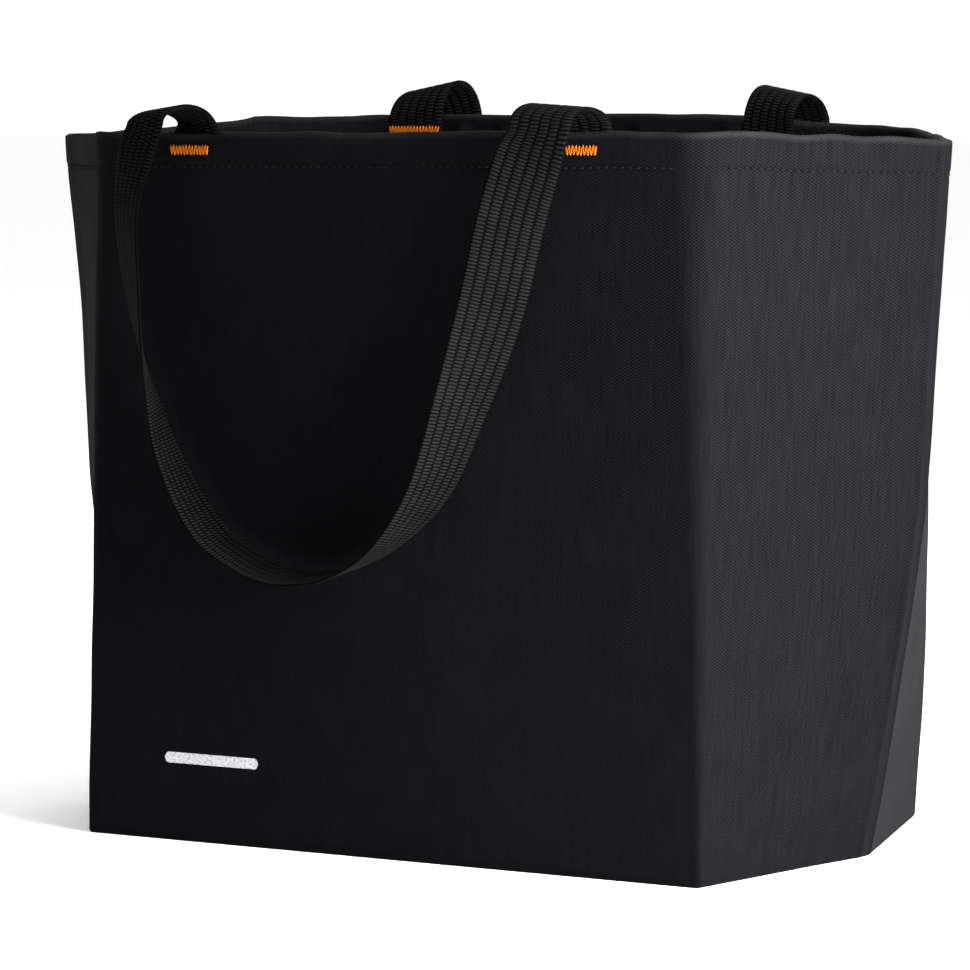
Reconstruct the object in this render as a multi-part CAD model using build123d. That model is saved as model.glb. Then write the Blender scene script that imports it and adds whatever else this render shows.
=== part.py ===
# Foldable tote bag: six stiffened upright panels, a two-leaf base and two webbing handles.
# X runs along the front, the front faces -Y, +Z is up, the floor is z = 0. Millimetres.
import os
from math import atan2, cos, degrees, hypot, radians, sin

from build123d import *

# Overall size
front_width = 306.0
wall_depth = 230.0
body_height = 325.0
end_bulge = 72.0

# Panel build-up, from the outside in
cloth_thickness = 0.8
board_thickness = 1.6
lining_thickness = 0.6
panel_thickness = cloth_thickness + board_thickness + lining_thickness

# Top hem and its stitching
hem_height = 16.0
thread_width = 0.5
thread_proud = 0.25
hem_gap = 0.3

# Boards stop short of the floor, the hem and the creases
board_foot_gap = 6.0
board_hem_gap = 1.0
board_crease_gap = 5.0
corner_gap = 0.15
crease_gap = 0.15

# Seam allowance sewn down inside each end
seam_width = 8.0
seam_tip_gap = 1.0

# Base leaves
leaf_side_margin = 24.0
leaf_taper = 0.62
leaf_gap = 0.3
leaf_board_edge = 3.0

# Handles
webbing_width = 30.0
webbing_thickness = 1.4
handle_span = 198.0
handle_shift = -6.0
handle_drop = 190.0
sewn_length = 42.0
loop_rise = 1.5
loop_radius = 11.0
running_gap = 0.3

# Bar tacks
outer_tack_width = 20.0
inner_tack_width = 28.0
tack_height = 4.2
tack_proud = 0.5
tack_below_rim = 5.6

# Printed mark
mark_width = 50.0
mark_height = 5.0
mark_left = -118.0
mark_foot = 36.0
mark_proud = 0.15

# Derived positions
half_width = front_width / 2
wall_y = wall_depth / 2
inner_y = wall_y - panel_thickness
tip_x = half_width + end_bulge

# A half-end runs from the front right corner to the tip; along and out are its unit directions
end_length = hypot(end_bulge, wall_y)
along = (end_bulge / end_length, wall_y / end_length)
out = (wall_y / end_length, -end_bulge / end_length)

# The corner hinge lies where the inner faces of wall and half-end meet
corner_x = half_width + (panel_thickness * (-out[1]) - panel_thickness) / out[0]
corner = (corner_x, -inner_y)
panel_start = (corner[0] + panel_thickness * out[0], corner[1] + panel_thickness * out[1])

os.makedirs("parts", exist_ok=True)


def save(shape, name):
    shape.label = name
    export_step(shape, "parts/" + name + ".step")


def block(x0, x1, y0, y1, z0, z1):
    """A box between two corners."""
    centre = Location(((x0 + x1) / 2, (y0 + y1) / 2, (z0 + z1) / 2))
    return centre * Box(x1 - x0, y1 - y0, z1 - z0)


def upright(points, z0, z1):
    """A prism over a flat outline, from z0 to z1."""
    outline = Polyline(*points, close=True)
    return Pos(0, 0, z0) * extrude(make_face(outline), z1 - z0, dir=(0, 0, 1))


def end_point(run, depth):
    """A plan point of the front right half-end: run from the corner, depth from its outer face."""
    x = panel_start[0] + along[0] * run - out[0] * depth
    y = panel_start[1] + along[1] * run - out[1] * depth
    return (x, y)


def run_to_crease(depth):
    """The run at which the half-end reaches the middle plane of the bag."""
    return (-crease_gap - panel_start[1] + out[1] * depth) / along[1]


def end_layer(outer, inner, start, tip_cut, z0, z1):
    """One layer of the half-end between two depths, mitred at the end's centre crease."""
    points = [
        end_point(start, outer),
        end_point(run_to_crease(outer) - tip_cut, outer),
        end_point(run_to_crease(inner) - tip_cut, inner),
        end_point(start, inner),
    ]
    return upright(points, z0, z1)


def corner_turn():
    """The outer cloth turned round the front right corner, centred on the corner hinge."""
    end_angle = degrees(atan2(out[1], out[0])) - 6.0
    sweep_angle = end_angle + 90.0
    outer_radius = panel_thickness
    inner_radius = panel_thickness - cloth_thickness
    outer_arc = CenterArc(corner, outer_radius, -90, sweep_angle)
    inner_arc = CenterArc(corner, inner_radius, -90, sweep_angle)
    first_edge = Line(inner_arc @ 0, outer_arc @ 0)
    last_edge = Line(outer_arc @ 1, inner_arc @ 1)
    return extrude(make_face([outer_arc, last_edge, inner_arc, first_edge]), body_height, dir=(0, 0, 1))


def save_walls(shape, name):
    """Save a front wall piece and its mirror image on the back wall."""
    save(shape, "front_" + name)
    save(mirror(shape, about=Plane.XZ), "back_" + name)


def save_ends(shape, name):
    """Save a front right half-end piece and its three mirror images."""
    back = mirror(shape, about=Plane.XZ)
    save(shape, "right_front_" + name)
    save(back, "right_back_" + name)
    save(mirror(shape, about=Plane.YZ), "left_front_" + name)
    save(mirror(back, about=Plane.YZ), "left_back_" + name)


# ---- Front and back walls ----
wall_end = corner_x
cloth_back = -wall_y + cloth_thickness
board_back = cloth_back + board_thickness
hem_foot = body_height - hem_height

wall_cloth = block(-wall_end, wall_end, -wall_y, cloth_back, 0, body_height)
wall_turn = corner_turn()
wall_cloth = wall_cloth + wall_turn + mirror(wall_turn, about=Plane.YZ)
save_walls(wall_cloth, "outer_cloth")

board_end = wall_end - board_crease_gap
board_top = hem_foot - board_hem_gap
wall_board = block(-board_end, board_end, cloth_back, board_back, board_foot_gap, board_top)
save_walls(wall_board, "board")

panel_end = wall_end - corner_gap
lining_foot = panel_thickness + hem_gap
lining_top = hem_foot - hem_gap
wall_lining = block(-panel_end, panel_end, board_back, -inner_y, lining_foot, lining_top)
save_walls(wall_lining, "lining")

wall_hem = block(-panel_end, panel_end, cloth_back, -inner_y, hem_foot, body_height)
save_walls(wall_hem, "hem")

stitch_foot = hem_foot + 0.5
stitch_end = wall_end - 2.0
wall_stitching = block(
    -stitch_end, stitch_end, -wall_y - thread_proud, -wall_y, stitch_foot, stitch_foot + thread_width
)
save_walls(wall_stitching, "hem_stitching")

# ---- Half-ends ----
end_cloth = end_layer(0, cloth_thickness, corner_gap, 0, 0, body_height)
save_ends(end_cloth, "outer_cloth")

board_depth = cloth_thickness + board_thickness
end_board = end_layer(
    cloth_thickness, board_depth, board_crease_gap, board_crease_gap, board_foot_gap, board_top
)
save_ends(end_board, "board")

end_lining = end_layer(board_depth, panel_thickness, corner_gap, 0, lining_foot, lining_top)
save_ends(end_lining, "lining")

end_hem = end_layer(cloth_thickness, panel_thickness, corner_gap, 0, hem_foot, body_height)
save_ends(end_hem, "hem")

end_stitching = end_layer(-thread_proud, 0, 2.0, 2.0, stitch_foot, stitch_foot + thread_width)
save_ends(end_stitching, "hem_stitching")

# ---- Seam allowance inside each end, on the front half ----
seam_depth = panel_thickness + cloth_thickness
seam_end = run_to_crease(seam_depth) - seam_tip_gap
seam_points = [
    end_point(seam_end - seam_width, panel_thickness),
    end_point(seam_end, panel_thickness),
    end_point(seam_end, seam_depth),
    end_point(seam_end - seam_width, seam_depth),
]
right_seam = upright(seam_points, lining_foot, lining_top)
save(right_seam, "right_end_seam")
save(mirror(right_seam, about=Plane.YZ), "left_end_seam")

# ---- Base leaves: trapezoids, so that the half-ends can fold in past them ----
leaf_wall_y = -inner_y + leaf_gap
leaf_reach = inner_y - 2 * leaf_gap
leaf_wide = corner_x - leaf_side_margin
leaf_narrow = leaf_wide - leaf_taper * leaf_reach


def leaf_layer(edge, z0, z1):
    """One layer of the front leaf, set back from the leaf's outline by edge."""
    wide = leaf_wide - edge
    narrow = leaf_narrow - edge
    near = leaf_wall_y + edge
    far = -leaf_gap - edge
    return upright([(-wide, near), (wide, near), (narrow, far), (-narrow, far)], z0, z1)


save_walls(leaf_layer(0, 0, cloth_thickness), "base_cloth")
save_walls(leaf_layer(leaf_board_edge, cloth_thickness, board_depth), "base_board")
save_walls(leaf_layer(0, board_depth, panel_thickness), "base_lining")

# ---- Soft floor corners between the base leaves and the ends ----
tip_inside = tip_x - panel_thickness / out[0] - 1.0
floor_side = corner_x - 1.0
floor_outline = [
    (leaf_wide + leaf_gap, leaf_wall_y),
    (floor_side, leaf_wall_y),
    (tip_inside, 0),
    (floor_side, -leaf_wall_y),
    (leaf_wide + leaf_gap, -leaf_wall_y),
    (leaf_narrow + 2 * leaf_gap, 0),
]
right_floor = upright(floor_outline, 0, cloth_thickness)
save(right_floor, "right_floor_cloth")
save(mirror(right_floor, about=Plane.YZ), "left_floor_cloth")
right_floor_lining = upright(floor_outline, cloth_thickness, cloth_thickness + lining_thickness)
save(right_floor_lining, "right_floor_lining")
save(mirror(right_floor_lining, about=Plane.YZ), "left_floor_lining")

# ---- Sewn handle ends: flat on the inside face, then over the rim ----
hinge_y = -inner_y - loop_radius
hinge_z = body_height + loop_rise
loop_outer = loop_radius + webbing_thickness


def half_ring(radius_in, radius_out, width):
    """The upper half of a ring about an X axis, of the given width."""
    ring = Cylinder(radius_out, width) - Cylinder(radius_in, width)
    ring = Rot(0, 90, 0) * ring
    upper = Pos(0, 0, radius_out) * Box(width, 2 * radius_out, 2 * radius_out)
    return ring & upper


def sewn_end(x):
    """One webbing end, centred on x."""
    left = x - webbing_width / 2
    right = x + webbing_width / 2
    leg_top = hinge_z
    leg_foot = body_height - sewn_length
    leg = block(left, right, -inner_y, -inner_y + webbing_thickness, leg_foot, leg_top)
    over = Pos(x, hinge_y, hinge_z) * half_ring(loop_radius, loop_outer, webbing_width)
    return leg + over


left_x = handle_shift - handle_span / 2
right_x = handle_shift + handle_span / 2
save_walls(sewn_end(left_x), "handle_left_end")
save_walls(sewn_end(right_x), "handle_right_end")

# ---- Free handle loops, hanging outside the wall ----
band_inner_y = hinge_y - loop_outer - running_gap
band_outer_y = band_inner_y - webbing_thickness
bend_radius = handle_span / 2
bend_z = body_height - handle_drop + bend_radius


def handle_band():
    """A webbing loop: two legs joined by a half circle below."""
    half = webbing_width / 2
    outer_disc = Cylinder(bend_radius + half, webbing_thickness)
    inner_disc = Cylinder(bend_radius - half, webbing_thickness)
    ring = Rot(90, 0, 0) * (outer_disc - inner_disc)
    reach = bend_radius + half
    lower = Pos(0, 0, -reach / 2) * Box(2 * reach, webbing_thickness, reach)
    middle_y = (band_inner_y + band_outer_y) / 2
    bend = Pos(handle_shift, middle_y, bend_z) * (ring & lower)
    left_leg = block(left_x - half, left_x + half, band_outer_y, band_inner_y, bend_z, hinge_z)
    right_leg = block(right_x - half, right_x + half, band_outer_y, band_inner_y, bend_z, hinge_z)
    return bend + left_leg + right_leg


save_walls(handle_band(), "handle_webbing")

# ---- Bar tacks: one bar of thread on the outer cloth and one on the webbing inside ----
tack_top = body_height - tack_below_rim
tack_foot = tack_top - tack_height


def tack(x):
    """The bar on the outer cloth."""
    half = outer_tack_width / 2
    return block(x - half, x + half, -wall_y - tack_proud, -wall_y, tack_foot, tack_top)


def inside_tack(x):
    """The bar on the webbing inside the bag."""
    half = inner_tack_width / 2
    webbing_face = -inner_y + webbing_thickness
    return block(x - half, x + half, webbing_face, webbing_face + tack_proud, tack_foot, tack_top)


save_walls(tack(left_x), "left_tack")
save_walls(tack(right_x), "right_tack")
save_walls(inside_tack(left_x), "left_inside_tack")
save_walls(inside_tack(right_x), "right_inside_tack")

# ---- Plain printed mark low on the front ----
mark = block(
    mark_left, mark_left + mark_width, -wall_y - mark_proud, -wall_y, mark_foot, mark_foot + mark_height
)
save(mark, "printed_mark")
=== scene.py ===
"""Foldable tote bag: the visual model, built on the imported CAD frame. Lengths are in metres."""
from math import cos, pi, radians, sin

import bmesh
import bpy
import numpy as np
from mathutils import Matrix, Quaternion, Vector, noise


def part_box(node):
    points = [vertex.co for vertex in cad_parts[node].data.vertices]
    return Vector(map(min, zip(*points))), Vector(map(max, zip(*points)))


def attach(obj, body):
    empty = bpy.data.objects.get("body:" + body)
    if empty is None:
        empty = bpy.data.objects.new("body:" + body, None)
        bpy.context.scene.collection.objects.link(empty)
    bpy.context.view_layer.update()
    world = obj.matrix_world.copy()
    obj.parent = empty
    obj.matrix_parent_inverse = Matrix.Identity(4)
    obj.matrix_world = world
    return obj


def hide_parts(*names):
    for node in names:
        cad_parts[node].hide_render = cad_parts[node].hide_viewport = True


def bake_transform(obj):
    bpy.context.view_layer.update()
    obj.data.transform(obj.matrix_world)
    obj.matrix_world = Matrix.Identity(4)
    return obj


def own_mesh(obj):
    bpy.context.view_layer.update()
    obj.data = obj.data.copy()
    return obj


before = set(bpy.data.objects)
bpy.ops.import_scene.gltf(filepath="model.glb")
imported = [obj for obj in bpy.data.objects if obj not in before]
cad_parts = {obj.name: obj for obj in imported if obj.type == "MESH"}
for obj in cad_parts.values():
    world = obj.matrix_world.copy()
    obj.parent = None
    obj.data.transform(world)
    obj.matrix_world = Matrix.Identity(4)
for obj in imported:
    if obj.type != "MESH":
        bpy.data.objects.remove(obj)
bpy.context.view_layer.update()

SIDES = {"front": -1, "back": 1}
ENDS = {"left": -1, "right": 1}

# ---- Sizes shared with the CAD ----
BODY_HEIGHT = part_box("front_outer_cloth")[1].z
WALL_Y = -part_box("front_outer_cloth")[0].y
HALF_WIDTH = 0.153
# Depths behind the cloth's outer face: the board's front, the board's back and the lining's back
BOARD_FRONT = 0.0009
BOARD_BACK = 0.0024
PANEL = 0.0030
BOARD_DEPTHS = (BOARD_FRONT, BOARD_BACK)
LINING_DEPTHS = (BOARD_BACK, PANEL)
HEM_HEIGHT = 0.016
LEFT_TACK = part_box("front_left_tack")
RIGHT_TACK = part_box("front_right_tack")
LEFT_X = (LEFT_TACK[0].x + LEFT_TACK[1].x) / 2
RIGHT_X = (RIGHT_TACK[0].x + RIGHT_TACK[1].x) / 2

# ---- Shape of the open bag ----
# The two halves of an end are kept this far to each side of the bag's middle plane
TIP_GAP = 0.00015
# Each end's centre crease stands out by its foot, a fast rise near the floor, a lean and a flare at the rim
BULGE_FOOT = {"left": 0.0454, "right": 0.031}
BULGE_RISE = {"left": 0.0244, "right": 0.0154}
BULGE_LEAN = {"left": 0.0182, "right": 0.0208}
BULGE_FLARE = {"left": 0.0040, "right": 0.0}
RISE_TOP = 0.160
RISE_POWER = 1.35
FLARE_START = 0.240
# Upright corners: half the wall's width at the foot and at the rim
CORNER_X = {
    ("front", "left"): (0.1600, 0.1520), ("front", "right"): (0.1535, 0.1530),
    ("back", "left"): (0.1530, 0.1530), ("back", "right"): (0.1580, 0.1530),
}
# The back right corner also stands out a little halfway up
CORNER_BOW = {("back", "right"): 0.0080}
CORNER_FOOT = {"front": 0.002, "back": 0.003}
CORNER_TOP = {"front": 0.014, "back": 0.050}
CORNER_GROWTH = {"front": 1.6, "back": 3.2}
# The rim's height at a wall's left end and right end, before the back rim falls to its right corner
RIM_HEIGHT = {
    "front": (BODY_HEIGHT - 0.0012, BODY_HEIGHT + 0.0006),
    "back": (BODY_HEIGHT + 0.0066, BODY_HEIGHT + 0.0080),
}
BACK_RIM_FALL = 0.0044
BACK_RIM_FALL_START = 0.716
CORNER_FALL = {("back", "left"): 0.0014, ("back", "right"): 0.0034}
TIP_HEIGHT = BODY_HEIGHT - 0.003
# How the rim runs from an upright corner to the tip: 1 is straight, less falls sooner
END_RIM_POWER = {"left": 0.7, "right": 0.9}
# This much cloth below the rim follows the rim's height unstretched
TOP_BAND = 0.060
RIDGE_HEIGHT = {"left": 0.0010, "right": 0.0026}
RIDGE_FROM_TIP = 0.0085
RIDGE_END = 0.045
RIDGE_CREST = 0.50
RIDGE_CREST_WIDTH = 0.0016
# The cloth's waves: how far they stand out, and how long they are
BROAD_WAVE = 0.0009
BROAD_WAVE_SIZE = 0.085
SMALL_WAVE = 0.0003
SMALL_WAVE_SIZE = 0.030
# The rim's waves: how high they stand on each kind of part, and how long they are
RIM_WAVE = {"wall": 0.0008, "corner": 0.0012, "half": 0.0012}
RIM_WAVE_SIZE = 0.022
RIM_RADIUS = 0.0018
HEM_DEPTH = 0.0036
HEM_PUCKER = 0.0042
STITCH_DROP = 0.0155
STITCH_PITCH = 0.0042
# A stitch starts after the first share of its pitch and runs for the second
STITCH_START = 0.12
STITCH_RUN = 0.66
# Share of a panel that its stitches keep clear of at each end
STITCH_MARGIN = 0.0015
STITCH_ARCH = 0.00040
STITCH_SUNK = 0.00030
THREAD_RADIUS = 0.00050
# The stitch line's dent in the cloth, and how far the hem above it stands proud
STITCH_PULL = 0.00045
STITCH_PULL_WIDTH = 0.0011
HEM_PUFF = 0.00035

# ---- Webbing ----
WEBBING_WIDTH = 0.030
WEBBING_HALF_THICKNESS = 0.0007
PANELS_ACROSS = 6
RIB_PITCH = 0.0016
RIB_HEIGHT = 0.00013
GROOVE_DEPTH = 0.00018
# Half the webbing's thickness at its two edges
WEBBING_EDGE = 0.00035
LOOP_RADIUS = 0.0117
LOOP_Y = 0.1230
LOOP_Z = 0.3265
HANG_Y = 0.1360
BACK_INWARD = 0.0024
BACK_SHIFT = {"left": -0.0060, "right": -0.0119}

# ---- Bar tacks ----
BACK_TACK_LIFT = {"left": 0.0062, "right": 0.0008}
FRONT_LEFT_TACK_LIFT = -0.0013
FRONT_LEFT_TACK_SHIFT = 0.0018


# ---------------------------------------------------------------- small helpers
def ease(start, end, value):
    """0 before start, 1 after end, smooth between."""
    share = min(max((value - start) / (end - start), 0.0), 1.0)
    return share * share * (3 - 2 * share)


def mix(a, b, share):
    return a + (b - a) * share


def lumps(x, y, z, size):
    """Smooth noise between about -1 and 1, with lumps of the given size."""
    return noise.noise(Vector((x / size + 7.3, y / size + 2.1, z / size + 4.7)))


def mesh_object(name, points, faces, coordinates=None):
    """A mesh from points and faces. coordinates are the cloth's own metres, for its weave."""
    mesh = bpy.data.meshes.new(name)
    mesh.from_pydata([tuple(p) for p in points], [], faces)
    mesh.update()
    mesh.polygons.foreach_set("use_smooth", [True] * len(mesh.polygons))
    if coordinates is not None:
        attribute = mesh.attributes.new("cloth_place", "FLOAT_VECTOR", "POINT")
        attribute.data.foreach_set("vector", np.asarray(coordinates, np.float32).ravel())
    made = bpy.data.objects.new(name, mesh)
    bpy.context.scene.collection.objects.link(made)
    return made


def grid_faces(rows, columns, closed_rows=False, flip=False):
    """Quads of a grid of rows x columns points. closed_rows joins the last row to the first."""
    faces = []
    for row in range(rows if closed_rows else rows - 1):
        above = (row + 1) % rows
        for column in range(columns - 1):
            a = row * columns + column
            b = above * columns + column
            face = (a, a + 1, b + 1, b)
            faces.append(face[::-1] if flip else face)
    return faces


def finish_piece(piece, material, slot, *nodes):
    piece.data.materials.append(material)
    if nodes:
        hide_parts(*nodes)
    return piece


# ---------------------------------------------------------------- the bag's outline
def bulge(end, z):
    """How far the end's centre crease stands out: it grows fast near the floor, then levels off."""
    rise = BULGE_RISE[end] * (1 - max(1 - z / RISE_TOP, 0.0) ** RISE_POWER)
    lean = BULGE_LEAN[end] * z / BODY_HEIGHT
    return BULGE_FOOT[end] + rise + lean + BULGE_FLARE[end] * ease(FLARE_START, BODY_HEIGHT, z)


def corner_length(side, z):
    share = min(max(z / BODY_HEIGHT, 0.0), 1.0)
    return mix(CORNER_FOOT[side], CORNER_TOP[side], share ** CORNER_GROWTH[side])


def half_end(side, end, z, depth):
    """Corner point, tip point, direction and outward normal of a half-end, at a depth."""
    s, e = SIDES[side], ENDS[end]
    share = min(max(z / BODY_HEIGHT, 0.0), 1.0)
    half_width = mix(*CORNER_X[side, end], share) + CORNER_BOW.get((side, end), 0.0) * sin(pi * share)
    corner = Vector((e * half_width, s * WALL_Y))
    tip = Vector((e * (HALF_WIDTH + bulge(end, z)), s * TIP_GAP))
    run = (tip - corner).normalized()
    normal = Vector((e * abs(run.y), s * abs(run.x)))
    slide = depth * (1 - abs(run.x)) / abs(run.y)
    inner_corner = corner - normal * depth + run * slide
    inner_tip = tip - Vector((e * depth / abs(normal.x), 0))
    return inner_corner, inner_tip, run, normal


def outline(part, share, z, depth):
    """Plan point and outward normal on a wall, corner or half-end. share runs from 0 to 1."""
    kind, side, end = part
    s = SIDES[side]
    if kind == "wall":
        left = half_end(side, "left", z, depth)[0].x + corner_length(side, z)
        right = half_end(side, "right", z, depth)[0].x - corner_length(side, z)
        return Vector((mix(left, right, share), s * (WALL_Y - depth))), Vector((0, s))
    corner, tip, run, normal = half_end(side, end, z, depth)
    length = corner_length(side, z)
    far = corner + run * length
    if kind == "half":
        return far.lerp(tip, share), normal
    near = corner - Vector((ENDS[end] * length, 0))
    point = near * (1 - share) ** 2 + corner * (2 * share * (1 - share)) + far * share ** 2
    return point, Vector((0, s)).lerp(normal, share).normalized()


def rim_height(part, share):
    """Height of the rim before its small waves."""
    kind, side, end = part
    if kind == "wall":
        height = mix(*RIM_HEIGHT[side], share)
        if side == "back":
            late = max(share - BACK_RIM_FALL_START, 0.0) / (1 - BACK_RIM_FALL_START)
            height -= BACK_RIM_FALL * late ** 1.7
        return height
    at_corner = rim_height(("wall", side, None), 1.0 if end == "right" else 0.0)
    fallen = at_corner - CORNER_FALL.get((side, end), 0.0)
    if kind == "corner":
        return mix(at_corner, fallen, share ** 1.2)
    return mix(fallen, TIP_HEIGHT, share ** END_RIM_POWER[end])


def height_at(part, share, drop):
    """Height of a point that is drop below the rim of the plain CAD wall."""
    rim = rim_height(part, share)
    if drop <= TOP_BAND:
        return rim - drop
    return (rim - TOP_BAND) * (BODY_HEIGHT - drop) / (BODY_HEIGHT - TOP_BAND)


def tip_ridge(part, share, z):
    """How far the panel stands out beside the end's centre crease, over the turned seam allowance."""
    kind, side, end = part
    if kind != "half" or side == "back":
        return 0.0
    corner, tip, _, _ = half_end(side, end, z, 0.0)
    away = (1 - share) * (tip - corner).length
    swell = (1 - ease(RIDGE_FROM_TIP, RIDGE_END, away)) * ease(0.0, RIDGE_FROM_TIP, away)
    crest = RIDGE_CREST * np.exp(-((away - RIDGE_FROM_TIP) / RIDGE_CREST_WIDTH) ** 2)
    return RIDGE_HEIGHT[end] * (swell + crest) * mix(0.35, 1.0, ease(0.0, 0.12, z))


def place(part, share, drop, depth, proud=0.0):
    """A point of a layer: drop below the rim, depth in from the outer face."""
    z = height_at(part, share, drop)
    plan, normal = outline(part, share, z, depth)
    outer, _ = outline(part, share, z, 0.0)
    x, y = outer
    wave = BROAD_WAVE * lumps(x, y, z, BROAD_WAVE_SIZE) + SMALL_WAVE * lumps(x, y, z, SMALL_WAVE_SIZE)
    wave *= ease(0.0, 0.03, z)
    out = wave + proud + tip_ridge(part, share, z)
    top = ease(0.030, 0.0, drop)
    z += top * RIM_WAVE[part[0]] * lumps(x, y, 0.0, RIM_WAVE_SIZE)
    return Vector((plan.x + normal.x * out, plan.y + normal.y * out, z))


def start_along(part):
    """Where a part begins along the cloth, so that the weave runs on from panel to panel."""
    kind, _, end = part
    if kind == "wall":
        return -HALF_WIDTH
    return {"corner": 1.0, "half": 1.02}[kind] * HALF_WIDTH * ENDS[end]


def part_length(part):
    if part[0] == "wall":
        return 2 * HALF_WIDTH
    corner, tip, _, _ = half_end(part[1], part[2], BODY_HEIGHT, 0.0)
    return (tip - corner).length if part[0] == "half" else 2 * CORNER_TOP[part[1]]


def shell_rows():
    """(depth, drop) of the rows of a shell: up the outer face, over the rim and down inside."""
    rows = [(0.0022, BODY_HEIGHT - 0.0001), (0.0007, BODY_HEIGHT - 0.0002)]
    steps = [(BODY_HEIGHT - 0.0012, TOP_BAND, 60), (TOP_BAND, 0.0230, 13), (0.0230, 0.0105, 19)]
    for first, last, count in steps:
        rows += [(0.0, drop) for drop in np.linspace(first, last, count, endpoint=False)]
    rows += [(0.0, drop) for drop in (0.0105, 0.0088, 0.007, 0.005, 0.0035)]
    for step in range(9):
        turn = pi * step / 8
        rows.append((RIM_RADIUS * (1 - cos(turn)) - 0.0003 * sin(turn), RIM_RADIUS * (1 - sin(turn))))
    rows += [(HEM_DEPTH, drop) for drop in np.linspace(0.0030, HEM_HEIGHT, 10)]
    rows.append((PANEL - 0.0004, HEM_HEIGHT + 0.0004))
    return rows


def columns_of(part):
    """How many columns a part's mesh has: two or three to a stitch, and a fixed number round a corner."""
    if part[0] == "corner":
        return 14
    per_stitch = 3 if part[0] == "half" else 2
    return int(per_stitch * part_length(part) / STITCH_PITCH) + 1


def shell_relief(depth, drop, along):
    """The stitch line pulls the cloth in, most at each stitch, and the hem stands a little proud."""
    if depth > RIM_RADIUS:
        pucker = max(0.0, lumps(along - 0.6 * drop, 0.2, 0.0, 0.017))
        return -HEM_PUCKER * pucker * ease(0.002, 0.009, drop) * ease(HEM_HEIGHT, HEM_HEIGHT - 0.005, drop)
    off_line = (drop - STITCH_DROP) / STITCH_PULL_WIDTH
    pull = STITCH_PULL * (0.75 + 0.25 * cos(2 * pi * along / STITCH_PITCH)) * np.exp(-off_line ** 2)
    puff = HEM_PUFF * ease(STITCH_DROP + 0.003, STITCH_DROP - 0.004, drop)
    return puff - pull


def make_shell(name, part):
    """The outer cloth and its turned hem, as one surface with a rounded rim."""
    rows = shell_rows()
    columns = columns_of(part)
    points, places = [], []
    for depth, drop in rows:
        for column in range(columns):
            share = column / (columns - 1)
            along = start_along(part) + share * part_length(part)
            points.append(place(part, share, drop, depth, shell_relief(depth, drop, along)))
            places.append((along, BODY_HEIGHT - drop, depth))
    flip = outward_flip(points, columns, part)
    return mesh_object(name, points, grid_faces(len(rows), columns, flip=flip), places)


def outward_flip(points, columns, part):
    """Whether a grid's faces have to be turned round to face out of the bag."""
    row = 20 * columns + columns // 2
    across = points[row + 1] - points[row]
    up = points[row + columns] - points[row]
    _, normal = outline(part, 0.5, BODY_HEIGHT / 2, 0.0)
    return across.cross(up).dot(Vector((normal.x, normal.y, 0))) < 0


def make_layer(name, part, depths, drops, rows_inside, share_range=(0.0, 1.0), wrinkle=0.0):
    """A closed thin layer, such as a board or a lining, that follows the panel."""
    near, far = depths
    top, foot = drops
    rows = [(near, drop) for drop in np.linspace(foot, top, 14)]
    rows += [(far, drop) for drop in np.linspace(top, foot, rows_inside)]
    columns = max(8, columns_of(part) // 2)
    points, places = [], []
    for depth, drop in rows:
        for column in range(columns):
            share = mix(*share_range, column / (columns - 1))
            point = place(part, share, drop, depth)
            if wrinkle and depth == far:
                x, y, z = point
                lift = max(0.0, lumps(x - 0.5 * z, y, z * 0.45, 0.026))
                lift += 0.4 * max(0.0, lumps(x, y, z, 0.013))
                _, normal = outline(part, share, z, depth)
                fade = ease(foot, foot - 0.02, drop) * ease(top, top + 0.006, drop)
                point -= Vector((normal.x, normal.y, 0)) * wrinkle * lift * fade
            points.append(point)
            places.append((share * part_length(part), BODY_HEIGHT - drop, depth))
    faces = grid_faces(len(rows), columns, closed_rows=True)
    faces.append(tuple(row * columns for row in range(len(rows))))
    faces.append(tuple(row * columns + columns - 1 for row in reversed(range(len(rows)))))
    made = mesh_object(name, points, faces, places)
    face_outwards(made)
    return made


def face_outwards(made):
    """Turns a closed mesh's faces to point out."""
    work = bmesh.new()
    work.from_mesh(made.data)
    bmesh.ops.recalc_face_normals(work, faces=work.faces)
    work.to_mesh(made.data)
    work.free()


def make_slab(name, corners, z0, z1, edge=0.0004, step=0.006):
    """A flat closed layer of cloth or board on the floor, with softened edges."""
    centre = sum((Vector(c) for c in corners), Vector((0, 0))) / len(corners)
    ring = []
    for a, b in zip(corners, corners[1:] + corners[:1]):
        count = max(2, int((Vector(b) - Vector(a)).length / step))
        ring += [Vector(a).lerp(Vector(b), k / count) for k in range(count)]
    levels = [(edge, z0), (0.0, z0 + edge), (0.0, z1 - edge), (edge, z1)]
    points = []
    for inset, z in levels:
        for p in ring:
            moved = p + (centre - p).normalized() * inset
            points.append(Vector((moved.x, moved.y, z)))
    count = len(ring)
    faces = []
    for level in range(len(levels) - 1):
        for k in range(count):
            a, b = level * count + k, level * count + (k + 1) % count
            faces.append((a, b, b + count, a + count))
    rings = 6
    for base, z in ((0, z0), (3 * count, z1)):
        previous = [base + k for k in range(count)]
        for inner in range(1, rings):
            share = inner / rings
            first = len(points)
            for k in range(count):
                p = points[base + k].lerp(Vector((centre.x, centre.y, z)), share)
                ripple = 0.00025 * lumps(p.x, p.y, z, 0.03) if z == z1 else 0.0
                points.append(p + Vector((0, 0, ripple)))
            current = [first + k for k in range(count)]
            for k in range(count):
                n = (k + 1) % count
                faces.append((previous[k], previous[n], current[n], current[k]))
            previous = current
        points.append(Vector((centre.x, centre.y, z)))
        for k in range(count):
            faces.append((previous[k], previous[(k + 1) % count], len(points) - 1))
    made = mesh_object(name, points, faces, [(p.x, p.y, p.z) for p in points])
    face_outwards(made)
    return made


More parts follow.
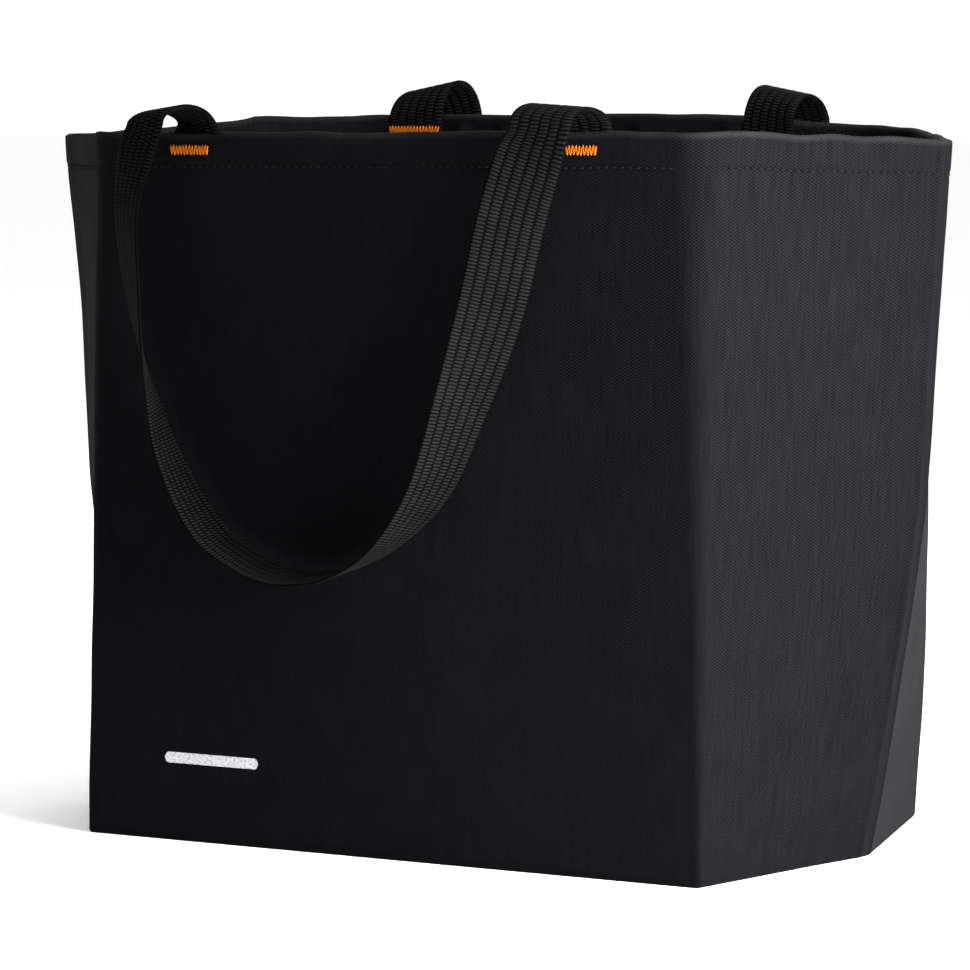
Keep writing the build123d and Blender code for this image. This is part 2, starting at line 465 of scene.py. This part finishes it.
def tube(name, lines, radius, sides=6):
    """Round thread along each of several lines of points, as one mesh."""
    points, faces = [], []
    for line in lines:
        first = len(points)
        for k, centre in enumerate(line):
            ahead = line[min(k + 1, len(line) - 1)] - line[max(k - 1, 0)]
            ahead.normalize()
            side = ahead.cross(Vector((0.31, 0.17, 0.93))).normalized()
            up = side.cross(ahead)
            thin = 0.55 if k in (0, len(line) - 1) else 1.0
            for j in range(sides):
                turn = 2 * pi * j / sides
                points.append(centre + (side * cos(turn) + up * sin(turn)) * radius * thin)
        for k in range(len(line) - 1):
            for j in range(sides):
                a, b = first + k * sides + j, first + k * sides + (j + 1) % sides
                faces.append((a, b, b + sides, a + sides))
        last = first + (len(line) - 1) * sides
        faces.append(tuple(first + j for j in reversed(range(sides))))
        faces.append(tuple(last + j for j in range(sides)))
    made = mesh_object(name, points, faces, [(p.x + p.y, p.z, 0) for p in points])
    face_outwards(made)
    return made


# ---------------------------------------------------------------- materials
class Nodes:
    """Short forms for building a material's nodes."""

    def __init__(self, name):
        self.material = bpy.data.materials.new(name)
        self.material.use_nodes = True
        self.tree = self.material.node_tree
        self.shader = self.tree.nodes["Principled BSDF"]

    def add(self, kind, **settings):
        node = self.tree.nodes.new(kind)
        for key, value in settings.items():
            setattr(node, key, value)
        return node

    def link(self, source, target):
        self.tree.links.new(source, target)

    def maths(self, operation, first, second=None):
        node = self.add("ShaderNodeMath", operation=operation)
        for socket, value in zip(node.inputs, (first, second)):
            if value is None:
                continue
            if isinstance(value, (int, float)):
                socket.default_value = value
            else:
                self.link(value, socket)
        return node.outputs[0]

    def place(self):
        node = self.add("ShaderNodeAttribute", attribute_name="cloth_place")
        split = self.add("ShaderNodeSeparateXYZ")
        self.link(node.outputs["Vector"], split.inputs[0])
        return node.outputs["Vector"], split.outputs

    def noise(self, vector, scale, detail=3.0):
        node = self.add("ShaderNodeTexNoise")
        node.inputs["Scale"].default_value = scale
        node.inputs["Detail"].default_value = detail
        self.link(vector, node.inputs["Vector"])
        return node.outputs["Fac"]

    def ramp(self, value, dark, light, low=0.0, high=1.0):
        node = self.add("ShaderNodeValToRGB")
        node.color_ramp.elements[0].position = low
        node.color_ramp.elements[1].position = high
        node.color_ramp.elements[0].color = (*dark, 1)
        node.color_ramp.elements[1].color = (*light, 1)
        self.link(value, node.inputs[0])
        return node.outputs[0]

    def bump(self, height, distance, strength=1.0):
        node = self.add("ShaderNodeBump")
        node.inputs["Distance"].default_value = distance
        node.inputs["Strength"].default_value = strength
        self.link(height, node.inputs["Height"])
        self.link(node.outputs[0], self.shader.inputs["Normal"])

    def roughness(self, value, low, high):
        spread = self.maths("MULTIPLY", value, high - low)
        self.link(self.maths("ADD", spread, low), self.shader.inputs["Roughness"])

    def fixed(self, **values):
        for key, value in values.items():
            self.shader.inputs[key.replace("_", " ")].default_value = value


# Painted highlight: the lighter colour mixed into the cloth along the rim's top, standing in for light
# caught by the rounded rim
RIM_HIGHLIGHT_COLOUR = (0.012, 0.0112, 0.0112)


def woven(name, dark, light, pitch=(0.00135, 0.00071), relief=0.00016, sheen=0.005, rough=(0.70, 0.90)):
    """Plain-weave cloth: threads over and under, slubs along the warp, soft mottling, and a painted
    highlight along the rim's top.
    """
    n = Nodes(name)
    vector, (along, up, _) = n.place()
    warp = n.maths("SINE", n.maths("MULTIPLY", along, pi / pitch[0]))
    weft = n.maths("SINE", n.maths("MULTIPLY", up, pi / pitch[1]))
    weave = n.maths("MULTIPLY_ADD", n.maths("MULTIPLY", warp, weft), 0.5)
    weave.node.inputs[2].default_value = 0.5
    stretch = n.add("ShaderNodeMapping")
    stretch.inputs["Scale"].default_value = (620, 45, 1)
    n.link(vector, stretch.inputs["Vector"])
    slub = n.noise(stretch.outputs[0], 1.0, 2.0)
    mottle = n.noise(vector, 38, 4.0)
    fine = n.noise(vector, 1500, 2.0)
    tone = n.maths("ADD", n.maths("MULTIPLY", weave, 0.36), n.maths("MULTIPLY", slub, 0.26))
    tone = n.maths("ADD", tone, n.maths("MULTIPLY", mottle, 0.12))
    tone = n.maths("ADD", tone, n.maths("MULTIPLY", fine, 0.26))
    colour = n.ramp(tone, dark, light, 0.30, 0.72)
    # Painted highlight: a band along the rim's top is mixed towards a lighter colour, for light caught by
    # the rounded rim
    rim_highlight_band = n.add("ShaderNodeMapRange")
    rim_highlight_band.inputs["From Min"].default_value = BODY_HEIGHT - 0.0034
    rim_highlight_band.inputs["From Max"].default_value = BODY_HEIGHT - 0.0012
    n.link(up, rim_highlight_band.inputs["Value"])
    edge = n.add("ShaderNodeMix", data_type="RGBA")
    edge.inputs["B"].default_value = (*RIM_HIGHLIGHT_COLOUR, 1)
    n.link(n.maths("MULTIPLY", rim_highlight_band.outputs[0], mottle), edge.inputs["Factor"])
    n.link(colour, edge.inputs["A"])
    n.link(edge.outputs["Result"], n.shader.inputs["Base Color"])
    n.roughness(mottle, *rough)
    n.bump(n.maths("ADD", weave, n.maths("MULTIPLY", slub, 0.35)), relief)
    n.fixed(Sheen_Weight=sheen, Sheen_Roughness=0.45, Specular_IOR_Level=0.02)
    n.shader.inputs["Sheen Tint"].default_value = (0.90, 0.92, 1.0, 1)
    return n.material


def webbing_material():
    """Polypropylene webbing: ribs across, and painted shade: darker broken lines in the grooves between its
    lengthwise panels, rib crests lighter than their hollows.
    """
    n = Nodes("black_webbing")
    vector, (along, across, _) = n.place()
    panel = WEBBING_WIDTH / PANELS_ACROSS
    line = n.maths("ABSOLUTE", n.maths("COSINE", n.maths("MULTIPLY", across, pi / panel)))
    groove = n.maths("POWER", line, 14.0)
    parity = n.maths("SIGN", n.maths("SINE", n.maths("MULTIPLY", across, pi / panel)))
    rib = n.maths("MULTIPLY", n.maths("COSINE", n.maths("MULTIPLY", along, 2 * pi / RIB_PITCH)), parity)
    rib = n.maths("MULTIPLY", rib, -1.0)
    fibre = n.noise(vector, 2600, 2.0)
    wear = n.noise(vector, 60, 3.0)
    # Painted shade: the colour is lighter on the ribs' crests and darker in the grooves between panels,
    # following the webbing's relief
    tone = n.maths("ADD", n.maths("MULTIPLY", rib, 0.30), n.maths("MULTIPLY", fibre, 0.40))
    tone = n.maths("ADD", tone, n.maths("MULTIPLY", wear, 0.25))
    tone = n.maths("SUBTRACT", tone, n.maths("MULTIPLY", groove, 0.45))
    colour = n.ramp(tone, (0.0005, 0.0005, 0.0006), (0.0105, 0.0102, 0.0100), 0.05, 0.80)
    n.link(colour, n.shader.inputs["Base Color"])
    n.roughness(wear, 0.60, 0.80)
    n.bump(n.maths("SUBTRACT", fibre, groove), 0.00008)
    n.fixed(Sheen_Weight=0.005, Sheen_Roughness=0.4, Specular_IOR_Level=0.01)
    return n.material


def thread_material(name, dark, light, rough=0.5):
    """Twisted sewing thread."""
    n = Nodes(name)
    vector, (along, up, _) = n.place()
    twist = n.maths("SINE", n.maths("MULTIPLY", n.maths("ADD", along, up), 2 * pi / 0.0006))
    fibre = n.noise(vector, 4000, 2.0)
    tone = n.maths("ADD", n.maths("MULTIPLY", twist, 0.25), fibre)
    n.link(n.ramp(tone, dark, light, 0.2, 0.8), n.shader.inputs["Base Color"])
    n.roughness(fibre, rough - 0.1, rough + 0.15)
    n.bump(twist, 0.00005)
    n.fixed(Sheen_Weight=0.01, Sheen_Roughness=0.4, Specular_IOR_Level=0.08)
    return n.material


def board_material():
    """Grey pressed fibre board."""
    n = Nodes("fibre_board")
    vector, _ = n.place()
    fibre = n.noise(vector, 700, 5.0)
    n.link(n.ramp(fibre, (0.12, 0.11, 0.10), (0.22, 0.20, 0.18), 0.3, 0.7), n.shader.inputs["Base Color"])
    n.roughness(fibre, 0.75, 0.95)
    n.bump(fibre, 0.00008)
    return n.material


def print_material():
    """Light grey print, thinner in speckled patches."""
    n = Nodes("grey_print")
    vector, _ = n.place()
    speckle = n.noise(vector, 900, 3.0)
    colour = n.ramp(speckle, (0.20, 0.20, 0.21), (0.46, 0.46, 0.47), 0.32, 0.55)
    n.link(colour, n.shader.inputs["Base Color"])
    n.roughness(speckle, 0.55, 0.75)
    n.bump(speckle, 0.00006)
    return n.material


cloth_material = woven("black_oxford_cloth", (0.0003, 0.0003, 0.0004), (0.0050, 0.0048, 0.0061))
lining_material = woven(
    "dark_lining", (0.0015, 0.0015, 0.0018), (0.0080, 0.0080, 0.0088), (0.0007, 0.0007), 0.00008,
)
# The hem thread is black, and its colour is also kept darker than the cloth as painted shade for stitches
# lying in their holes
black_thread_painted_shade = thread_material("black_thread_painted_shade", (0.0004, 0.0004, 0.0005), (0.0015, 0.0015, 0.0018), 0.8)
orange_thread = thread_material("orange_thread", (0.20, 0.036, 0.0006), (0.52, 0.135, 0.0030), 0.5)
strap_material = webbing_material()
board_look = board_material()
print_look = print_material()


def bend_half(piece):
    """Bakes a half-end piece's transform into its mesh; it does not bend it. A half-end narrows to its
    foot, so its foot turns a little less than the CAD's half-end.
    """
    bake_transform(piece)


def bend_corner(piece):
    """Bakes a corner piece's transform into its mesh; it does not bend it. The cloth round an upright
    corner bends between the wall and the half-end.
    """
    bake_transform(piece)


def stitch_line(name, part):
    """Short stitches along the hem, each a little sunk at its ends."""
    count = int(part_length(part) / STITCH_PITCH)
    lines = []
    for k in range(count):
        line = []
        for step in range(5):
            share = (k + STITCH_START + STITCH_RUN * step / 4) / count
            share = min(max(share, STITCH_MARGIN), 1 - STITCH_MARGIN)
            raised = STITCH_ARCH * sin(pi * step / 4) - STITCH_SUNK
            line.append(place(part, share, STITCH_DROP, 0.0, raised))
        lines.append(line)
    return tube(name, lines, THREAD_RADIUS, 5)


lining_drops = (HEM_HEIGHT - 0.004, BODY_HEIGHT - 0.0032)
board_drops = (HEM_HEIGHT + 0.001, BODY_HEIGHT - 0.006)

for side in SIDES:
    wall = ("wall", side, None)
    shell = make_shell(f"{side}_wall_cloth", wall)
    finish_piece(shell, cloth_material, "cloth", f"{side}_outer_cloth", f"{side}_hem")
    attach(shell, f"{side}_wall")

    board = make_layer(f"{side}_wall_board", wall, BOARD_DEPTHS, board_drops, 14, (0.004, 0.996))
    finish_piece(board, board_look, "board", f"{side}_board")
    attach(board, f"{side}_wall")

    lining = make_layer(f"{side}_wall_lining", wall, LINING_DEPTHS, lining_drops, 70, wrinkle=0.0042)
    finish_piece(lining, lining_material, "lining", f"{side}_lining")
    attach(lining, f"{side}_wall")

    stitches = stitch_line(f"{side}_wall_stitches", wall)
    finish_piece(stitches, black_thread_painted_shade, "thread", f"{side}_hem_stitching")
    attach(stitches, f"{side}_wall")

    for end in ENDS:
        half = ("half", side, end)
        corner = ("corner", side, end)
        node = f"{end}_{side}"
        shell = make_shell(f"{node}_end_cloth", half)
        finish_piece(shell, cloth_material, "cloth", f"{node}_outer_cloth", f"{node}_hem")
        bend_half(shell)

        board = make_layer(f"{node}_end_board", half, BOARD_DEPTHS, board_drops, 14, (0.03, 0.95))
        finish_piece(board, board_look, "board", f"{node}_board")
        bend_half(board)

        lining = make_layer(f"{node}_end_lining", half, LINING_DEPTHS, lining_drops, 50, wrinkle=0.0020)
        finish_piece(lining, lining_material, "lining", f"{node}_lining")
        bend_half(lining)

        stitches = stitch_line(f"{node}_end_stitches", half)
        finish_piece(stitches, black_thread_painted_shade, "thread", f"{node}_hem_stitching")
        bend_half(stitches)

        strip = make_shell(f"{node}_corner_cloth", corner)
        finish_piece(strip, cloth_material, "cloth")
        bend_corner(strip)
        inner_strip = make_layer(f"{node}_corner_lining", corner, LINING_DEPTHS, lining_drops, 40)
        finish_piece(inner_strip, lining_material, "lining")
        bend_corner(inner_strip)

# The seam allowance inside each end, beside the centre crease
SEAM_WIDTH = 0.010
for end in ENDS:
    half = ("half", "front", end)
    length = part_length(half)
    seam = make_layer(
        f"{end}_end_seam_allowance", half, (PANEL + 0.0001, PANEL + 0.0009),
        (HEM_HEIGHT + 0.002, BODY_HEIGHT - 0.006), 40, (1 - SEAM_WIDTH / length, 1 - 0.002 / length),
    )
    finish_piece(seam, lining_material, "lining", f"{end}_end_seam")
    bend_half(seam)


# ---------------------------------------------------------------- base
# The base's layers reach this much further out than in the CAD, to meet the walls' cloth
BASE_REACH = 0.0012
# A base leaf's half width lost for each metre from the wall to the middle fold
BASE_TAPER = 0.62
# The floor corner pieces: how far each layer lies under the base leaves, and its edge's depth in the cloth
FLOOR_TUCK = {"floor_cloth": 0.003, "floor_lining": -0.0003}
FLOOR_DEPTH = PANEL - 0.0018
floor_sheets = []

for side in SIDES:
    for layer, look, slot in (
        ("base_cloth", cloth_material, "cloth"),
        ("base_board", board_look, "board"),
        ("base_lining", lining_material, "lining"),
    ):
        node = f"{side}_{layer}"
        low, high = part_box(node)
        s = SIDES[side]
        near_y, far_y = (low.y, high.y) if s < 0 else (high.y, low.y)
        near_y += s * BASE_REACH
        narrow = high.x - BASE_TAPER * abs(near_y - far_y)
        corners = [(-high.x, near_y), (high.x, near_y), (narrow, far_y), (-narrow, far_y)]
        slab = make_slab(f"{node}_leaf", corners, low.z, high.z, 0.0002)
        finish_piece(slab, look, slot, node)
        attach(slab, f"base_{side}_leaf")
        if slot != "board":
            floor_sheets.append((slab, corners, f"{side}_base_board_leaf"))

for end, e in ENDS.items():
    for layer, look, slot in (
        ("floor_cloth", cloth_material, "cloth"),
        ("floor_lining", lining_material, "lining"),
    ):
        node = f"{end}_{layer}"
        low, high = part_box(node)
        leaf_low, leaf_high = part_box("front_base_cloth")
        tuck = FLOOR_TUCK[layer]
        wide = leaf_high.x - tuck
        narrow = leaf_high.x - BASE_TAPER * (leaf_high.y - leaf_low.y) - tuck
        reach = BASE_REACH - low.y
        front_x, tip, _, _ = half_end("front", end, 0.0, FLOOR_DEPTH)
        back_x, _, _, _ = half_end("back", end, 0.0, FLOOR_DEPTH)
        corners = [
            (e * wide, reach), (back_x.x, reach), (tip.x, 0),
            (front_x.x, -reach), (e * wide, -reach), (e * narrow, 0),
        ]
        slab = make_slab(f"{node}_piece", corners, low.z, high.z, 0.0002)
        finish_piece(slab, look, slot, node)
        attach(slab, "back_wall")
        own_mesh(slab)
        floor_sheets.append((slab, corners, "front_base_cloth_leaf"))


# ---------------------------------------------------------------- handles
# The hanging part of the front handle: (x, z, degrees that the webbing is turned), left to right
HANG = [
    (-0.1196, 0.312, 28), (-0.124, 0.288, 38), (-0.121, 0.253, 46), (-0.116, 0.224, 58),
    (-0.111, 0.205, 68), (-0.104, 0.183, 79), (-0.092, 0.160, 87), (-0.078, 0.143, 93),
    (-0.061, 0.133, 96), (-0.047, 0.128, 97), (-0.031, 0.127, 97), (-0.011, 0.131, 95),
    (0.011, 0.144, 90), (0.032, 0.169, 76), (0.048, 0.208, 61), (0.062, 0.248, 38),
    (0.072, 0.287, 24), (0.080, 0.312, 12),
]


def over_rim(inside_x, outside_x, lift, tilt, heading=0.0, inward=0.0):
    """Stations from inside the bag over the rim to the outside: place, facing, turn, direction across.
    heading turns the loop about the vertical, inward keeps its inner leg off the wall,
    and the loop's edge towards the middle stands higher."""
    stations = []
    sign = 1 if inside_x < 0 else -1
    for z in (0.2850, 0.3000, 0.3150):
        foot = Vector((inside_x, -LOOP_Y + LOOP_RADIUS + inward, z))
        stations.append((foot, Vector((0, 1, 0)), 0.0, Vector((sign, 0, 0))))
    for step in range(9):
        angle = pi * step / 8
        x = mix(inside_x, outside_x, (1 - cos(angle)) / 2)
        y = -LOOP_Y + LOOP_RADIUS * cos(angle) + inward * (1 + cos(angle)) / 2
        z = LOOP_Z + (LOOP_RADIUS + lift) * sin(angle)
        turned = heading * ease(-0.5, 0.2, step / 8)
        facing = Vector((cos(angle) * sin(turned), cos(angle) * cos(turned), sin(angle)))
        across = Vector((sign * cos(turned), -sign * sin(turned), tilt * sin(angle)))
        stations.append((Vector((x, y, z)), facing, 0.0, across))
    return stations


def hang_of(side, left_x, right_x):
    """The hanging part of a handle. Nothing shows the back one's, so it is a plain even loop."""
    if side == "front":
        return HANG
    middle, reach = (left_x + right_x) / 2, (right_x - left_x) / 2
    turns = [pi * (step + 0.5) / 14 for step in range(14)]
    return [(middle - reach * cos(a), 0.318 - 0.190 * sin(a), 92 * sin(a)) for a in turns]


def handle_stations(side):
    """The back handle's ends sit nearer the left and its loops stand higher, as the photograph shows."""
    if side == "front":
        left_x, right_x = -0.1151, 0.0850
        left = over_rim(LEFT_X + 0.0035, left_x, -0.0035, 0.10, heading=radians(26))
        right = over_rim(RIGHT_X, right_x, -0.0020, 0.06)
    else:
        left_x, right_x = -0.1022, 0.0887
        left = over_rim(LEFT_X + BACK_SHIFT["left"], left_x, 0.0068, 0.20, inward=BACK_INWARD)
        right = over_rim(
            RIGHT_X + BACK_SHIFT["right"], right_x, 0.0052, 0.16, heading=radians(-15), inward=BACK_INWARD,
        )
    middle = [
        (Vector((x, -HANG_Y, z)), Vector((0, -1, 0)), turn, Vector((0, 0, 0)))
        for x, z, turn in hang_of(side, left_x, right_x)
    ]
    return left + middle + right[::-1]


def smooth_line(values, count):
    """Catmull-Rom through the values, count steps in each span."""
    values = np.asarray(values, float)
    padded = np.vstack([2 * values[0] - values[1], values, 2 * values[-1] - values[-2]])
    t = np.linspace(0, 1, count, endpoint=False)[:, None]
    out = []
    for a, b, c, d in zip(padded, padded[1:], padded[2:], padded[3:]):
        out.append(0.5 * (2 * b + (c - a) * t + (2 * a - 5 * b + 4 * c - d) * t ** 2
                          + (3 * b - a - 3 * c + d) * t ** 3))
    return np.vstack(out + [values[-1:]])


def resample(line, step):
    """The same line at an even step along its first three columns."""
    gaps = np.linalg.norm(np.diff(line[:, :3], axis=0), axis=1)
    far = np.concatenate([[0], np.cumsum(gaps)])
    places = np.linspace(0, far[-1], int(far[-1] / step) + 1)
    return places, np.column_stack([np.interp(places, far, line[:, k]) for k in range(line.shape[1])])


def unit(rows):
    """The same directions, each of length 1."""
    return rows / np.linalg.norm(rows, axis=1)[:, None]


def strap_frame(line):
    """Centre, direction across and direction of the face at each row of a strap's line."""
    centre = line[:, :3]
    ahead = unit(np.gradient(centre, axis=0))
    facing = line[:, 3:6]
    facing = unit(facing - ahead * (facing * ahead).sum(1)[:, None])
    turn = np.radians(line[:, 6])[:, None]
    width = np.cos(turn) * np.cross(facing, ahead) + np.sin(turn) * facing
    level = line[:, 7:10]
    set_by_loop = np.clip(np.linalg.norm(level, axis=1), 0, 1)[:, None]
    width = unit(width * (1 - set_by_loop) + level)
    return centre, width, unit(np.cross(ahead, width))


def webbing_profile():
    """Points round the webbing's section: the place across, and 1 or -1 for the face it is on."""
    panel = WEBBING_WIDTH / PANELS_ACROSS
    across = []
    for number in range(PANELS_ACROSS):
        across += [-WEBBING_WIDTH / 2 + panel * number + part for part in (0, 0.0012, 0.0038)]
    across.append(WEBBING_WIDTH / 2)
    return [(v, 1) for v in across] + [(v, -1) for v in reversed(across)]


def half_thickness(v, distance):
    """Half the webbing's thickness at a place across and along it: thin edges, grooves and ribs."""
    panel = WEBBING_WIDTH / PANELS_ACROSS
    if abs(v) > WEBBING_WIDTH / 2 - 0.0001:
        return WEBBING_EDGE
    if abs((v / panel) - round(v / panel)) < 0.05:
        return WEBBING_HALF_THICKNESS - GROOVE_DEPTH
    number = int((v + WEBBING_WIDTH / 2) / panel)
    return WEBBING_HALF_THICKNESS + RIB_HEIGHT * cos(2 * pi * distance / RIB_PITCH + pi * (number % 2))


def make_handle(side):
    """One strap from its inside left end, over the rim, down, up and in again."""
    stations = handle_stations(side)
    rows = [(*point, *facing, turn, *across) for point, facing, turn, across in stations]
    far, line = resample(smooth_line(rows, 40), RIB_PITCH / 4)
    centre, width, face = strap_frame(line)
    profile = webbing_profile()
    points, places = [], []
    for index, distance in enumerate(far):
        for v, sign in profile:
            height = half_thickness(v, distance)
            points.append(centre[index] + width[index] * v + face[index] * sign * height)
            places.append((distance, v, sign * 0.001))
    points = np.array(points)
    points[:, 1] *= -SIDES[side]
    count = len(profile)
    faces = []
    for row in range(len(far) - 1):
        for k in range(count):
            a, b = row * count + k, row * count + (k + 1) % count
            faces.append((a, b, b + count, a + count))
    faces.append(tuple(reversed(range(count))))
    faces.append(tuple((len(far) - 1) * count + k for k in range(count)))
    strap = mesh_object(f"{side}_handle_strap", points, faces, places)
    face_outwards(strap)
    nodes = [f"{side}_handle_webbing", f"{side}_handle_left_end", f"{side}_handle_right_end"]
    finish_piece(strap, strap_material, "webbing", *nodes)
    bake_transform(strap)
    return strap, far[-1]


for side in SIDES:
    strap, length = make_handle(side)


# ---------------------------------------------------------------- bar tacks
def zigzag(node, outward, y, teeth):
    """A dense zigzag of thread over the bar's place, with an under-row along the middle."""
    low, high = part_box(node)
    lift, shift = 0.0, 0.0
    if node.startswith("back"):
        end = "left" if "left" in node else "right"
        shift = BACK_SHIFT[end]
        lift = BACK_TACK_LIFT[end]
    elif node == "front_left_tack":
        lift, shift = FRONT_LEFT_TACK_LIFT, FRONT_LEFT_TACK_SHIFT
    count = teeth * 2
    line = []
    for k in range(count * 5 + 1):
        share = k / (count * 5)
        swing = 2 * abs((share * teeth) % 1 - 0.5)
        swing = ease(0.0, 1.0, swing)
        slack = 0.0002 * lumps(share * 3, 0.3, 0.1, 0.25)
        x = mix(low.x, high.x, share) + slack + shift
        z = mix(low.z, high.z, swing) + lift + 0.0003 * lumps(share, 0.8, 0.4, 0.06)
        line.append(Vector((x, y + outward * 0.00025 * sin(pi * swing), z)))
    middle = []
    for k in range(41):
        share = k / 40
        middle.append(Vector((mix(low.x, high.x, share) + shift, y, (low.z + high.z) / 2 + lift)))
    return tube(f"{node}_thread", [line, middle], 0.00036)


for side, s in SIDES.items():
    for name in ("left_tack", "right_tack", "left_inside_tack", "right_inside_tack"):
        node = f"{side}_{name}"
        inside = "inside" in name
        y = s * (WALL_Y + 0.0006)
        if inside:
            y = s * (LOOP_Y - LOOP_RADIUS - WEBBING_HALF_THICKNESS - 0.0009)
            if side == "back":
                y -= BACK_INWARD
        bar = zigzag(node, -s if inside else s, y, 16 if inside else 12)
        finish_piece(bar, orange_thread, "tack_thread", node)
        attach(bar, f"{side}_wall")


# ---------------------------------------------------------------- printed mark
def make_mark():
    """A plain bar printed on the cloth, with rounded ends."""
    low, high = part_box("printed_mark")
    columns, rows = 60, 9
    wall = ("wall", "front", None)
    left = outline(wall, 0.0, low.z, 0.0)[0].x
    right = outline(wall, 1.0, low.z, 0.0)[0].x
    points, places = [], []
    for row in range(rows):
        for column in range(columns):
            x = mix(low.x, high.x, column / (columns - 1))
            half = (high.z - low.z) / 2
            end = min(x - low.x, high.x - x) / half
            tall = half * min(1.0, (1 - (1 - min(end, 1.0)) ** 2) ** 0.5 + 0.05)
            z = (low.z + high.z) / 2 + tall * (2 * row / (rows - 1) - 1)
            drop = BODY_HEIGHT - z
            points.append(place(wall, (x - left) / (right - left), drop, 0.0, 0.00012))
            places.append((x, z, 0))
    mark = mesh_object("printed_bar", points, grid_faces(rows, columns), places)
    finish_piece(mark, print_look, "print", "printed_mark")
    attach(mark, "front_wall")


make_mark()


def polygon_area(corners):
    ring = zip(corners, corners[1:] + corners[:1])
    return abs(sum(a[0] * b[1] - b[0] * a[1] for a, b in ring)) / 2


for piece, corners, under in floor_sheets:
    length = max(y for x, y in corners) - min(y for x, y in corners)
    polygon_area(corners)


# ---------------------------------------------------------------- floor, light and camera
def floor():
    reach = 30.0
    corners = [Vector((reach * x, reach * y, 0)) for x, y in ((-1, -1), (1, -1), (1, 1), (-1, 1))]
    ground = mesh_object("studio_floor", corners, [(0, 1, 2, 3)])
    n = Nodes("pale_floor")
    n.fixed(Base_Color=(0.86, 0.86, 0.86, 1), Roughness=0.9, Specular_IOR_Level=0.1)
    ground.data.materials.append(n.material)


def area_light(name, place, target, size, power, colour=(1, 1, 1)):
    data = bpy.data.lights.new(name, "AREA")
    data.shape = "RECTANGLE"
    data.size, data.size_y = size
    data.energy = power
    data.color = colour
    light = bpy.data.objects.new(name, data)
    light.location = place
    light.rotation_euler = (Vector(target) - Vector(place)).to_track_quat("-Z", "Y").to_euler()
    light.visible_camera = False
    bpy.context.scene.collection.objects.link(light)


def overhead(strength):
    data = bpy.data.lights.new("overhead", "SUN")
    data.energy = strength
    data.angle = radians(75)
    light = bpy.data.objects.new("overhead", data)
    light.location = (0, 0, 3)
    bpy.context.scene.collection.objects.link(light)


def surroundings(seen, lit):
    """White behind the bag, and a dimmer even light from all round."""
    world = bpy.data.worlds.new("studio")
    world.use_nodes = True
    tree = world.node_tree
    background = tree.nodes["Background"]
    path = tree.nodes.new("ShaderNodeLightPath")
    scale = tree.nodes.new("ShaderNodeMapRange")
    scale.inputs["To Min"].default_value = lit
    scale.inputs["To Max"].default_value = seen
    tree.links.new(path.outputs["Is Camera Ray"], scale.inputs["Value"])
    tree.links.new(scale.outputs[0], background.inputs["Strength"])
    background.inputs["Color"].default_value = (1, 1, 1, 1)
    bpy.context.scene.world = world


def camera():
    yaw, pitch, distance = radians(28.19), radians(4.93), 2.1125
    target = Vector((-0.01314, 0, 0.15926))
    back = Vector((sin(yaw) * cos(pitch), -cos(yaw) * cos(pitch), sin(pitch)))
    data = bpy.data.cameras.new("camera")
    data.sensor_width = 36.0
    data.lens = 167.5
    made = bpy.data.objects.new("camera", data)
    made.location = target + back * distance
    level = (-back).to_track_quat("-Z", "Y")
    made.rotation_euler = (level @ Quaternion((0, 0, 1), radians(0.10))).to_euler()
    bpy.context.scene.collection.objects.link(made)
    bpy.context.scene.camera = made


floor()
overhead(3.5)
surroundings(1.1, 0.05)
area_light("right_softbox", (2.0, -0.10, 0.60), (0.18, -0.05, 0.17), (0.8, 1.2), 165)
area_light("right_fill", (0.47, -0.26, 0.34), (0.15, -0.10, 0.17), (0.25, 0.35), 9)
area_light("back_softbox", (-0.5, 1.9, 0.80), (0, 0.1, 0.2), (1.6, 1.0), 28)
camera()
bpy.context.scene.view_settings.view_transform = "Standard"

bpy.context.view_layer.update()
